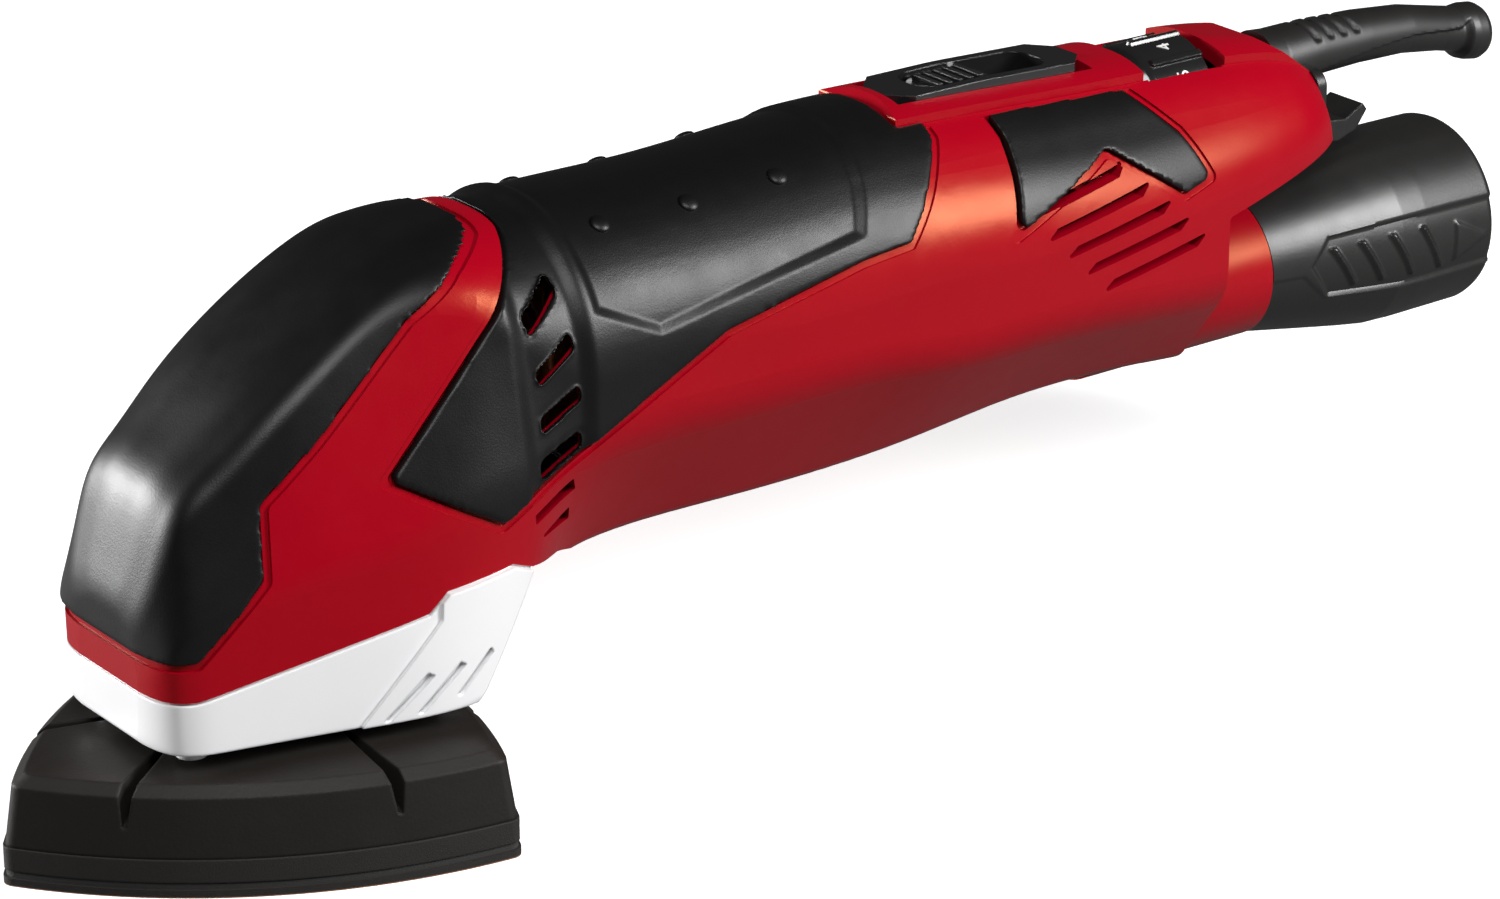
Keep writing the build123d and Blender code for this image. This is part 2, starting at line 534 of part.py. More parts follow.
with BuildPart() as gear_bracket:
    with BuildPart(mode=Mode.PRIVATE) as bracket_form:
        add(block(-20, 36, -40, 40, *BRACKET))
        add(block(27, 36, -40, 40, BRACKET[0], 95))
        add(SEATED, mode=Mode.INTERSECT)
    add(bracket_form.part)
    add(post(BRACKET[0] - 1, BRACKET[1] + 1, SPINDLE_R + 4), mode=Mode.SUBTRACT)
    add(post(BRACKET[0] - 1, UPPER_BEARING[1], BEARING_R), mode=Mode.SUBTRACT)
    add(rod(26, 40, MOTOR_SHAFT_R + 3), mode=Mode.SUBTRACT)
    add(rod(MOTOR_BEARING[0], 40, MOTOR_BEARING_R), mode=Mode.SUBTRACT)
save(gear_bracket.part, "gear_bracket")

save(post(*LOWER_BEARING, BEARING_R, SPINDLE_R + SLIP), "spindle_bearing_lower")
save(post(*UPPER_BEARING, BEARING_R, SPINDLE_R + SLIP), "spindle_bearing_upper")

# ---- spindle with eccentric journal, counterweight and bevel gear ----
JOURNAL = (22.6, 35.0)
PAD_BEARING = (23.0, 30.0)
PAD_BEARING_R = 9.5
with BuildPart() as spindle:
    add(post(JOURNAL[1], 68.0, SPINDLE_R))
    add(post(*JOURNAL, JOURNAL_R, x=ORBIT))
    add(post(PAD_BEARING[1] + 0.3, JOURNAL[1], SPINDLE_R + ORBIT + 0.6, x=ORBIT))
    add(post(JOURNAL[0] - 1, JOURNAL[0] + 9, 1.6, x=ORBIT), mode=Mode.SUBTRACT)
save(spindle.part, "spindle")

WEIGHT = (44.4, 49.6)
WEIGHT_R = 17.0
with BuildPart() as counterweight:
    with BuildSketch(Plane.XY.offset(WEIGHT[0])):
        Circle(WEIGHT_R)
        with Locations((WEIGHT_R + 3, 0)):
            Rectangle(2 * WEIGHT_R, 3 * WEIGHT_R, mode=Mode.SUBTRACT)
        Circle(SPINDLE_R + 3)
        Circle(SPINDLE_R, mode=Mode.SUBTRACT)
    extrude(amount=WEIGHT[1] - WEIGHT[0])
save(counterweight.part, "counterweight")


# ---- bevel gears ----
GEAR_CONE = atan2(GEAR_TEETH, PINION_TEETH)      # half angle of the pitch cone
PINION_CONE = pi / 2 - GEAR_CONE
FACE_LENGTH = 7.0
MODULE = 2 * CONE_DISTANCE * sin(GEAR_CONE) / GEAR_TEETH
ADDENDUM = 0.8 * MODULE
DEDENDUM = 1.05 * MODULE


def bevel_teeth(count, cone, first_angle):
    """Tapered teeth round +Z with the cone's tip at the origin and the wide end below."""
    with BuildPart() as teeth:
        for i in range(count):
            angle = first_angle + 2 * pi * i / count
            along = Vector(sin(cone) * cos(angle), sin(cone) * sin(angle), -cos(cone))
            outwards = Vector(cos(cone) * cos(angle), cos(cone) * sin(angle), sin(cone))
            ends = []
            for distance in (CONE_DISTANCE, CONE_DISTANCE - FACE_LENGTH):
                scale_here = distance / CONE_DISTANCE
                plane = Plane(origin=along * distance, x_dir=along.cross(outwards), z_dir=along)
                up = 1 if plane.y_dir.dot(outwards) > 0 else -1
                with BuildSketch(plane) as end:
                    with BuildLine():
                        Polyline([(-0.62 * MODULE * scale_here, -up * DEDENDUM * 1.15 * scale_here),
                                  (0.62 * MODULE * scale_here, -up * DEDENDUM * 1.15 * scale_here),
                                  (0.34 * MODULE * scale_here, up * ADDENDUM * scale_here),
                                  (-0.34 * MODULE * scale_here, up * ADDENDUM * scale_here)],
                                 close=True)
                    make_face()
                ends.append(end.sketch)
            loft(sections=ends)
    return teeth.part


def bevel_blank(cone, bore, hub_r, hub_length):
    """The cone under the teeth, with a hub below it."""
    root = cone - DEDENDUM / CONE_DISTANCE
    near = CONE_DISTANCE - FACE_LENGTH
    far_r, far_z = CONE_DISTANCE * sin(root), -CONE_DISTANCE * cos(root)
    near_r, near_z = near * sin(root), -near * cos(root)
    with BuildPart() as blank:
        with BuildSketch(Plane.XZ):
            with BuildLine():
                Polyline([(bore, near_z), (near_r, near_z), (far_r, far_z),
                          (far_r - 1.5, far_z - 2.0), (hub_r, far_z - 2.0),
                          (hub_r, far_z - hub_length), (bore, far_z - hub_length)], close=True)
            make_face()
        revolve(axis=Axis.Z)
    return blank.part


with BuildPart() as bevel_gear:
    with Locations((0, 0, MOTOR_Z)):
        add(bevel_blank(GEAR_CONE, SPINDLE_R, SPINDLE_R + 3.5, 5.0))
        add(bevel_teeth(GEAR_TEETH, GEAR_CONE, pi / GEAR_TEETH))
save(bevel_gear.part, "bevel_gear")

with BuildPart() as bevel_pinion:
    with Locations(Location((0, 0, MOTOR_Z), (0, -90, 0))):
        add(bevel_blank(PINION_CONE, MOTOR_SHAFT_R, MOTOR_SHAFT_R + 2.0, 4.0))
        add(bevel_teeth(PINION_TEETH, PINION_CONE, 0))
save(bevel_pinion.part, "bevel_pinion")

# ---- motor ----
SHAFT = (9.0, 163.0)
STATOR = (64.0, 106.0)
STATOR_R = 22.0
CORE_R = 14.6
save(rod(*SHAFT, MOTOR_SHAFT_R), "armature_shaft")

SLOT_COUNT = 12
with BuildPart() as armature_core:
    add(rod(STATOR[0] + 1, STATOR[1] - 1, CORE_R, MOTOR_SHAFT_R))
    for i in range(SLOT_COUNT):
        angle = 2 * pi * i / SLOT_COUNT
        slot_plane = Plane(origin=(STATOR[0], CORE_R * cos(angle), MOTOR_Z + CORE_R * sin(angle)),
                           z_dir=(1, 0, 0))
        with BuildSketch(slot_plane):
            Circle(1.3)
        extrude(amount=60, mode=Mode.SUBTRACT)
save(armature_core.part, "armature_core")

with BuildPart() as armature_windings:
    for x in (STATOR[0] - 6, STATOR[1] - 1):
        add(rod(x, x + 7, 13.4, MOTOR_SHAFT_R))
    fillet(edges().filter_by(GeomType.CIRCLE).group_by(SortBy.RADIUS)[-1], 2.5)
save(armature_windings.part, "armature_windings")

COMMUTATOR = (120.0, 134.0)
COMMUTATOR_R = 9.0
COMMUTATOR_BARS = 24
with BuildPart() as commutator:
    add(rod(*COMMUTATOR, COMMUTATOR_R, MOTOR_SHAFT_R))
    for i in range(COMMUTATOR_BARS):
        angle = 2 * pi * i / COMMUTATOR_BARS
        gap_plane = Plane(origin=(COMMUTATOR[0] - 1, COMMUTATOR_R * cos(angle),
                                  MOTOR_Z + COMMUTATOR_R * sin(angle)), z_dir=(1, 0, 0))
        with BuildSketch(gap_plane):
            Circle(0.3)
        extrude(amount=20, mode=Mode.SUBTRACT)
save(commutator.part, "commutator")

FAN = (40.0, 52.0)
FAN_R = 21.0
FAN_BLADES = 14
with BuildPart() as fan:
    add(rod(FAN[0], FAN[0] + 1.6, FAN_R, MOTOR_SHAFT_R))
    add(rod(FAN[0], FAN[1], MOTOR_SHAFT_R + 3, MOTOR_SHAFT_R))
    for i in range(FAN_BLADES):
        angle = 2 * pi * i / FAN_BLADES
        blade_plane = Plane(origin=(FAN[0] + 1.5, 14.0 * cos(angle), MOTOR_Z + 14.0 * sin(angle)),
                            x_dir=(0, cos(angle + 0.5), sin(angle + 0.5)), z_dir=(1, 0, 0))
        with BuildSketch(blade_plane):
            Rectangle(12, 1.2)
        extrude(amount=FAN[1] - FAN[0] - 2.5)
save(fan.part, "fan")

with BuildPart() as stator_core:
    add(rod(*STATOR, STATOR_R, CORE_R + 0.5))
    for side in (-1, 1):
        add(block(STATOR[0] - 1, STATOR[1] + 1, -7, 7, *sorted((MOTOR_Z + side * 17.5, MOTOR_Z + side * 19.5))),
            mode=Mode.SUBTRACT)
save(stator_core.part, "stator_core")

with BuildPart() as field_coils:
    for x in (STATOR[0] - 7, STATOR[1]):
        for side in (-1, 1):
            with BuildPart(mode=Mode.PRIVATE) as coil_end:
                add(rod(x, x + 7, 21.0, 15.2))
                add(block(x - 1, x + 8, -14, 14, *sorted((MOTOR_Z + side * 4, MOTOR_Z + side * 30))),
                    mode=Mode.INTERSECT)
            add(coil_end.part)
save(field_coils.part, "field_coils")

BRUSH_X = (COMMUTATOR[0] + COMMUTATOR[1]) / 2
HOLDER_OUT = 24.5
with BuildPart() as brush_holders:
    for side in (-1, 1):
        with Locations((BRUSH_X, side * (COMMUTATOR_R + 1.5 + HOLDER_OUT) / 2, MOTOR_Z)):
            Box(9, HOLDER_OUT - COMMUTATOR_R - 1.5, 11)
            Box(6.6, HOLDER_OUT - COMMUTATOR_R, 8.6, mode=Mode.SUBTRACT)
        with Locations((BRUSH_X, side * (HOLDER_OUT + 0.6), MOTOR_Z)):
            Box(9, 1.2, 11)
save(brush_holders.part, "brush_holders")

BRUSH_LENGTH = 8.0
with BuildPart() as carbon_brushes:
    for side in (-1, 1):
        with Locations((BRUSH_X, side * (COMMUTATOR_R + 0.1 + BRUSH_LENGTH / 2), MOTOR_Z)):
            Box(6.2, BRUSH_LENGTH, 8.2)
save(carbon_brushes.part, "carbon_brushes")

with BuildPart() as brush_springs:
    for side in (-1, 1):
        start = side * (COMMUTATOR_R + 0.3 + BRUSH_LENGTH)
        with BuildSketch(Plane(origin=(BRUSH_X, start, MOTOR_Z), z_dir=(0, side, 0))):
            Circle(2.6)
            Circle(1.8, mode=Mode.SUBTRACT)
        extrude(amount=HOLDER_OUT - COMMUTATOR_R - BRUSH_LENGTH - 0.5)
save(brush_springs.part, "brush_springs")

REAR_BEARING = (152.0, 158.0)
save(rod(*MOTOR_BEARING, MOTOR_BEARING_R, MOTOR_SHAFT_R + SLIP), "motor_bearing_front")
save(rod(*REAR_BEARING, 9.5, MOTOR_SHAFT_R + SLIP), "motor_bearing_rear")
save(rod(REAR_BEARING[0], REAR_BEARING[1], 12.0, 9.5), "rear_bearing_seat")

with BuildPart() as motor_carrier:
    for x in (REAR_BEARING[0], STATOR[0] + 3, STATOR[1] - 6):
        with BuildPart(mode=Mode.PRIVATE) as rib:
            add(SEATED)
            add(block(x, x + 3, -40, 40, 58, 94 if x > 120 else 120), mode=Mode.INTERSECT)
            add(block(x - 1, x + 4, -9, 9, 97, 120), mode=Mode.SUBTRACT)
            add(rod(x - 1, x + 4, 12.0 if x > 120 else STATOR_R), mode=Mode.SUBTRACT)
        add(rib.part)
save(motor_carrier.part, "motor_carrier")

with BuildPart() as capacitor:
    with Locations((178, -10, 72)):
        Box(16, 8, 13)
    fillet(edges().filter_by(Axis.Z), 1.5)
save(capacitor.part, "capacitor")

# ---- dust duct, from the head to the port ----
DUCT_HALF = 8.5
DUCT = (66.5, 172.0)
DUCT_Z = (48.3, 57.0)
with BuildPart() as dust_duct:
    add(block(*DUCT, -DUCT_HALF, DUCT_HALF, *DUCT_Z))
    add(block(DUCT[0] - 1, DUCT[1] + 1, -DUCT_HALF + 1.2, DUCT_HALF - 1.2, DUCT_Z[0] + 1.2, DUCT_Z[1] - 1.2),
        mode=Mode.SUBTRACT)
save(dust_duct.part, "dust_duct")

# ---- dust adapter ----
ADAPTER_START = COLLAR_END + 0.3
ADAPTER_SHOULDER = 274.3
ADAPTER_RIM_R = 21.0
with BuildPart() as dust_adapter:
    with BuildSketch(Plane.XZ):
        with BuildLine():
            Polyline([(ADAPTER_START, PORT_SPIGOT_R + SLIP), (ADAPTER_START, COLLAR_R),
                      (ADAPTER_SHOULDER, ADAPTER_RIM_R), (ADAPTER_END, ADAPTER_RIM_R - 0.2),
                      (ADAPTER_END, PORT_HOSE_R), (ADAPTER_SHOULDER - 1, PORT_HOSE_R),
                      (ADAPTER_START + 18, PORT_SPIGOT_R + SLIP)], close=True)
        make_face()
        fillet(vertices().filter_by_position(Axis.X, ADAPTER_END - 1, ADAPTER_END + 1), 1.2)
        fillet(vertices().filter_by_position(Axis.X, ADAPTER_SHOULDER - 0.1, ADAPTER_SHOULDER + 0.1), 6)
    revolve(axis=Axis.X)
with BuildPart() as dust_adapter_placed:
    with Locations((0, 0, PORT_Z)):
        add(dust_adapter.part)
save(dust_adapter_placed.part, "dust_adapter")

# ---- end cap, cable hook, bend sleeve and clamp ----
with BuildPart() as end_cap:
    with BuildSketch(Plane(origin=(TAIL_X + 0.1, 0, 93.6), x_dir=(0, 1, 0), z_dir=(1, 0, 0))):
        RectangleRounded(30, 11.6, 3.5)
    extrude(amount=2.4)
    with BuildSketch(Plane.XZ):
        with BuildLine():
            Polyline([(TAIL_X + 1, 96), (TAIL_X + 1, 87.4), (262, 80), (268, 79), (273, 80.5),
                      (276, 84.5), (274.8, 86), (270, 83.4), (265, 84), (259, 90), (257, 96)], close=True)
        make_face()
    extrude(amount=5.0, both=True)
    add(rod(240, 290, SLEEVE_ROOT_R + 0.3, z=SLEEVE_Z), mode=Mode.SUBTRACT)
save(end_cap.part, "end_cap")

SLEEVE_DROOP = 2.5
with BuildPart() as cable_sleeve:
    with BuildSketch(Plane.XZ):
        with BuildLine():
            Polyline([(SLEEVE_START, CABLE_R), (SLEEVE_START, SLEEVE_ROOT_R), (268, 6.6), (300, 5.4),
                      (305, 5.4), (308.5, 6.3), (SLEEVE_END - 0.8, 6.3), (SLEEVE_END, 5.6), (SLEEVE_END, CABLE_R)],
                     close=True)
        make_face()
    revolve(axis=Axis.X)
with BuildPart() as cable_sleeve_placed:
    with Locations(Location((SLEEVE_START, 0, SLEEVE_Z), (0, SLEEVE_DROOP, 0)) * Location((-SLEEVE_START, 0, 0))):
        add(cable_sleeve.part)
save(cable_sleeve_placed.part, "cable_sleeve")

CLAMP_X = 239.5
with BuildPart() as cable_clamp:
    with Locations((CLAMP_X, 0, 92.6)):
        Box(6, 20, 4.6)
    add(rod(CLAMP_X - 5, CLAMP_X + 5, CABLE_R, z=98.0), mode=Mode.SUBTRACT)
    with Locations((CLAMP_X, 7.5, 92.6), (CLAMP_X, -7.5, 92.6)):
        Hole(SCREW_R + SEAT)
save(cable_clamp.part, "cable_clamp")

with BuildPart() as clamp_screws:
    for y in (-7.5, 7.5):
        add(post(88.6, 94.9, SCREW_R, x=CLAMP_X, y=y))
        add(post(94.9, 96.9, 2.8, x=CLAMP_X, y=y))
save(clamp_screws.part, "clamp_screws")

# ---- housing screws ----
with BuildPart() as housing_screws:
    for x, z in SCREW_PLACES:
        with BuildSketch(Plane(origin=(x, SCREW_TIP_Y, z), z_dir=(0, 1, 0))):
            Circle(SCREW_R)
        extrude(amount=SCREW_SEAT_Y - SCREW_TIP_Y)
        with BuildSketch(Plane(origin=(x, SCREW_SEAT_Y, z), z_dir=(0, 1, 0))):
            Circle(SCREW_HEAD_R)
        extrude(amount=2.6)
        with BuildSketch(Plane(origin=(x, SCREW_SEAT_Y + 1.2, z), z_dir=(0, 1, 0))):
            RegularPolygon(1.5, 6)
        extrude(amount=2, mode=Mode.SUBTRACT)
save(housing_screws.part, "housing_screws")


# ---- delta pad ----
def pad_outline(margin, height):
    """The pad's outline, moved inwards by margin, as a flat face at a height."""
    with BuildSketch(Plane.XY.offset(height)) as outline:
        with BuildLine():
            reach = PAD_SIDE / sqrt(3)
            bow = PAD_SIDE / (2 * sqrt(3)) + PAD_BOW
            tips = [(reach * cos(a), reach * sin(a)) for a in (pi, -pi / 3, pi / 3)]
            for i, middle in enumerate((-2 * pi / 3, 0, 2 * pi / 3)):
                ThreePointArc(tips[i], (bow * cos(middle), bow * sin(middle)), tips[(i + 1) % 3])
        make_face()
        if margin:
            offset(amount=-margin, kind=Kind.INTERSECTION)
        fillet(vertices(), 2.5)
    return outline.sketch


HOLE_R = 3.2
PAD_HOLES = [(14.0 * cos(a), 14.0 * sin(a)) for a in (0, 2 * pi / 3, -2 * pi / 3)]
PAD_HOLES += [(26.0 * cos(a), 26.0 * sin(a)) for a in (pi, pi / 3, -pi / 3)]
SHEET = (0.0, 1.6)
HOOK = (1.6, 3.0)
FOAM = (3.0, PAD_BAND)
for name, (low, high), margin in (("sanding_sheet", SHEET, 0.0), ("hook_layer", HOOK, 0.5),
                                  ("pad_foam", FOAM, 0.2)):
    with BuildPart() as layer:
        add(pad_outline(margin, low))
        extrude(amount=high - low)
        with BuildSketch(Plane.XY.offset(low - 1)):
            with Locations(*PAD_HOLES):
                Circle(HOLE_R)
            if name != "sanding_sheet":
                with Locations((0, 0)):
                    Circle(7.0)
        extrude(amount=high - low + 2, mode=Mode.SUBTRACT)
    save(layer.part, name)

PAD_SCREW_HEAD_R = 4.0
GROOVE_START = 19.0           # the grooves run out from here and deepen towards the rim
GROOVE_LENGTH = 34.0
GROOVE_TURN = 14.0
GROOVE_LEAN = 31.0
GROOVE_ENDS = ((0.0, 1.2, 0.0), (GROOVE_LENGTH, 3.0, 15.5))
groove_sections = []
for distance, half, depth in GROOVE_ENDS:
    with BuildSketch(Plane(origin=(distance, 0, PAD_HUB_Z), z_dir=(1, 0, 0), x_dir=(0, 1, 0))) as groove_end:
        Polygon((-half, 2), (half, 2), (0.4, -depth - 0.8), (-0.4, -depth - 0.8), align=None)
    groove_sections.append(groove_end.sketch)
pad_groove = loft(sections=groove_sections)
with BuildPart() as pad_carrier:
    loft(sections=[pad_outline(0.6, PAD_BAND), pad_outline(2.2, PAD_WALL_TOP)])
    loft(sections=[pad_outline(2.2, PAD_WALL_TOP), pad_outline(4.4, PAD_WALL_TOP + 1.8)])
    loft(sections=[pad_outline(4.4, PAD_WALL_TOP + 1.8), pad_outline(20.0, PAD_HUB_Z - 1.8)])
    add(post(PAD_BAND, PAD_BEARING[1] - 0.3, HUB_R, x=ORBIT))
    add(post(PAD_BEARING[0] - 1.6, 40, PAD_BEARING_R, x=ORBIT), mode=Mode.SUBTRACT)
    for x, y in FEET:
        add(post(PAD_HUB_Z - 4.5, 40, FOOT_R, x=x, y=y), mode=Mode.SUBTRACT)
    add(post(PAD_BAND - 1, 40, 7.0, x=ORBIT), mode=Mode.SUBTRACT)
    for tip_angle in (180, 60, -60):
        for side in (-1, 1):
            turn = tip_angle + side * GROOVE_TURN
            foot = (GROOVE_START * cos(radians(turn)), GROOVE_START * sin(radians(turn)))
            add(pad_groove.moved(Location((*foot, 0), (0, 0, tip_angle + side * GROOVE_LEAN))),
                mode=Mode.SUBTRACT)
save(pad_carrier.part, "pad_carrier")

save(post(*PAD_BEARING, PAD_BEARING_R, JOURNAL_R + SLIP, x=ORBIT), "pad_bearing")

with BuildPart() as pad_washer:
    add(post(JOURNAL[0] - 1.2, JOURNAL[0], 5.4, 1.7, x=ORBIT))
save(pad_washer.part, "pad_washer")

with BuildPart() as pad_screw:
    add(post(JOURNAL[0] - 1.2, JOURNAL[0] + 8, 1.6, x=ORBIT))
    add(post(JOURNAL[0] - 4.2, JOURNAL[0] - 1.2, PAD_SCREW_HEAD_R, x=ORBIT))
    with BuildSketch(Plane.XY.offset(JOURNAL[0] - 4.2)):
        with Locations((ORBIT, 0)):
            RegularPolygon(2.0, 6)
    extrude(amount=1.6, mode=Mode.SUBTRACT)
save(pad_screw.part, "pad_screw")

with BuildPart() as swing_feet:
    for x, y in FEET:
        add(post(PAD_HUB_Z - 4.5, LOWER_BEARING[0] - 0.5, FOOT_R, x=x, y=y))
save(swing_feet.part, "swing_feet")
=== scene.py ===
import bpy
import numpy as np
from math import cos, pi, radians, sin
from mathutils import Matrix, Vector


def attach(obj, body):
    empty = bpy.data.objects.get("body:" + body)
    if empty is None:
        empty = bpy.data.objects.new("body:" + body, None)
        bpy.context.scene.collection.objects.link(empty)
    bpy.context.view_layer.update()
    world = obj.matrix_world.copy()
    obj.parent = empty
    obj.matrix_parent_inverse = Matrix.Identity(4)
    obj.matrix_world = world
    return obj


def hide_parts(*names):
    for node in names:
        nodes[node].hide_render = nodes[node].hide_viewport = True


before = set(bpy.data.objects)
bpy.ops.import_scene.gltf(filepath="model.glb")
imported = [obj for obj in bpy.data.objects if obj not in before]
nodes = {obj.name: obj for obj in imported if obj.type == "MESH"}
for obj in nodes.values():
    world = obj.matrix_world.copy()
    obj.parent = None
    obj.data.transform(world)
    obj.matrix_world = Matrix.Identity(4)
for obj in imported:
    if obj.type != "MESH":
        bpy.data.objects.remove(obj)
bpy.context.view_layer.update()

# Camera: a long lens above the nose, on the tool's left side, looking down on it.
# The view direction is 37 degrees round from square-on and 22 degrees down.
CAMERA_PLACE = (-0.4378, -0.7320, 0.4148)
CAMERA_TURN, CAMERA_DIP = radians(-37.1), radians(22)
bpy.ops.object.camera_add(location=CAMERA_PLACE)
camera = bpy.context.object
camera.name = "camera"
camera.data.lens = 120
camera.data.sensor_width = 36
camera.data.clip_end = 20
towards_camera = Vector((sin(CAMERA_TURN) * cos(CAMERA_DIP), -cos(CAMERA_TURN) * cos(CAMERA_DIP),
                         sin(CAMERA_DIP)))
camera.rotation_euler = towards_camera.to_track_quat("Z", "Y").to_euler()
bpy.context.scene.camera = camera

# Floor: a plain pale sheet, large enough to fill the view, that glows a little.  Only the
# camera sees it so: to the tool it is a dark table top, and black rubber over it stays black.
FLOOR_SIZE = 12
FLOOR_TONE, FLOOR_TONE_TO_TOOL, FLOOR_GLOW = 0.93, 0.12, 0.5
bpy.ops.mesh.primitive_plane_add(size=FLOOR_SIZE, location=(0, 0, 0))
floor = bpy.context.object
floor.name = "floor"
floor_paper = bpy.data.materials.new("floor_paper")
floor_paper.use_nodes = True
sheet = floor_paper.node_tree
floor_shader = sheet.nodes["Principled BSDF"]
floor_shader.inputs["Roughness"].default_value = 0.7
floor_shader.inputs["Emission Color"].default_value = (1, 1, 1, 1)
floor_seen = sheet.nodes.new("ShaderNodeLightPath")
floor_tone = sheet.nodes.new("ShaderNodeMix")
floor_tone.data_type = "RGBA"
floor_tone.inputs["A"].default_value = (FLOOR_TONE_TO_TOOL, FLOOR_TONE_TO_TOOL, FLOOR_TONE_TO_TOOL, 1)
floor_tone.inputs["B"].default_value = (FLOOR_TONE, FLOOR_TONE, FLOOR_TONE, 1)
sheet.links.new(floor_seen.outputs["Is Camera Ray"], floor_tone.inputs["Factor"])
sheet.links.new(floor_tone.outputs["Result"], floor_shader.inputs["Base Color"])
floor_glow = sheet.nodes.new("ShaderNodeMapRange")
floor_glow.inputs["To Max"].default_value = FLOOR_GLOW
sheet.links.new(floor_seen.outputs["Is Camera Ray"], floor_glow.inputs["Value"])
sheet.links.new(floor_glow.outputs["Result"], floor_shader.inputs["Emission Strength"])
floor.data.materials.append(floor_paper)

# Surround: white to the camera and nearly dark to the tool, so that the soft boxes alone
# shape its glossy skin.
ROOM_LEVEL, ROOM_LEVEL_TO_TOOL = 1.0, 0.03
surround = bpy.data.worlds.new("surround")
bpy.context.scene.world = surround
surround.use_nodes = True
room = surround.node_tree
room_seen = room.nodes.new("ShaderNodeLightPath")
room_level = room.nodes.new("ShaderNodeMapRange")
room_level.inputs["To Min"].default_value = ROOM_LEVEL_TO_TOOL
room_level.inputs["To Max"].default_value = ROOM_LEVEL
room.links.new(room_seen.outputs["Is Camera Ray"], room_level.inputs["Value"])
room.links.new(room_level.outputs["Result"], room.nodes["Background"].inputs["Strength"])
room.nodes["Background"].inputs["Color"].default_value = (1, 1, 1, 1)
bpy.context.scene.view_settings.view_transform = "Standard"

# Lights: three soft boxes.  The first stands high on the near side, the second beside the
# cable end, and the third low and beyond the nose, for the edge of the cap.
TOOL_MIDDLE = (0.12, 0, 0.07)


def soft_box(name, place, width, height, watts):
    bpy.ops.object.light_add(type="AREA", location=place)
    lamp = bpy.context.object
    lamp.name = name
    lamp.data.shape = "RECTANGLE"
    lamp.data.size = width
    lamp.data.size_y = height
    lamp.data.energy = watts
    lamp.rotation_euler = (Vector(place) - Vector(TOOL_MIDDLE)).to_track_quat("Z", "Y").to_euler()


soft_box("high_box", (-0.33, -0.72, 1.06), width=0.6, height=0.5, watts=11)
soft_box("tail_box", (0.77, -0.83, 0.60), width=0.35, height=0.5, watts=17)
soft_box("nose_box", (-0.68, 0.89, 0.25), width=0.5, height=0.35, watts=22)

# Red housing: two satin ABS shells moulded in one colour and screwed together from the
# right side, and two small covers let into their top.  It mirrors light a little orange.
CLOUD_SCALE, RUB_SCALE, GRAIN_STRENGTH = 38, 160, 0.6


def noise(tree, place, scale, detail):
    """The grey value of a noise pattern that is fixed to the piece."""
    pattern = tree.nodes.new("ShaderNodeTexNoise")
    pattern.inputs["Scale"].default_value = scale
    pattern.inputs["Detail"].default_value = detail
    tree.links.new(place.outputs["Object"], pattern.inputs["Vector"])
    return pattern.outputs["Fac"]


def blend(tree, share, colour, other):
    """A mix of two colours, by the value that a socket gives."""
    mix = tree.nodes.new("ShaderNodeMix")
    mix.data_type = "RGBA"
    mix.inputs["A"].default_value = (*colour, 1)
    mix.inputs["B"].default_value = (*other, 1)
    tree.links.new(share, mix.inputs["Factor"])
    return mix


def moulded(name, colour, other, roughness, grain, grain_depth, edge=0.0, coat=0.0, metal=0.0, sheen=0.0,
            shine=0.5, shine_tone=(1, 1, 1)):
    """A moulded finish: cloudy colour, uneven gloss, fine grain and softened edges."""
    material = bpy.data.materials.new(name)
    material.use_nodes = True
    tree = material.node_tree
    shader = tree.nodes["Principled BSDF"]
    shader.inputs["Metallic"].default_value = metal
    shader.inputs["Specular IOR Level"].default_value = shine
    shader.inputs["Specular Tint"].default_value = (*shine_tone, 1)
    shader.inputs["Coat Weight"].default_value = coat
    shader.inputs["Coat Roughness"].default_value = 0.16
    shader.inputs["Sheen Weight"].default_value = sheen
    shader.inputs["Sheen Roughness"].default_value = 0.6
    place = tree.nodes.new("ShaderNodeTexCoord")
    clouds = blend(tree, noise(tree, place, CLOUD_SCALE, 5), colour, other)
    tree.links.new(clouds.outputs["Result"], shader.inputs["Base Color"])
    gloss = tree.nodes.new("ShaderNodeMapRange")
    gloss.inputs["To Min"].default_value = roughness[0]
    gloss.inputs["To Max"].default_value = roughness[1]
    tree.links.new(noise(tree, place, RUB_SCALE, 4), gloss.inputs["Value"])
    tree.links.new(gloss.outputs["Result"], shader.inputs["Roughness"])
    bump = tree.nodes.new("ShaderNodeBump")
    bump.inputs["Strength"].default_value = GRAIN_STRENGTH
    bump.inputs["Distance"].default_value = grain_depth
    tree.links.new(noise(tree, place, grain, 2), bump.inputs["Height"])
    if edge:
        rounding = tree.nodes.new("ShaderNodeBevel")
        rounding.samples = 4
        rounding.inputs["Radius"].default_value = edge
        tree.links.new(rounding.outputs["Normal"], bump.inputs["Normal"])
    tree.links.new(bump.outputs["Normal"], shader.inputs["Normal"])
    return material


def dress(material, *names):
    """Gives CAD nodes their finish."""
    for name in names:
        nodes[name].data.materials.clear()
        nodes[name].data.materials.append(material)


red_abs = moulded("red_abs", (0.33, 0.0, 0.010), (0.29, 0.0, 0.008), (0.26, 0.36), 1500, 0.00002,
                  shine=0.45, shine_tone=(1.0, 0.42, 0.16))
dress(red_abs, "housing_left", "housing_right", "top_cover", "tail_cover")

# Head cap: black thermoplastic rubber, moulded over the nose in a shallow pocket of the
# shells.  Its edges are full and round, and its skin is dull with a fine grain.
MERGE_DISTANCE = 0.00002
SMOOTH_PASSES = 5


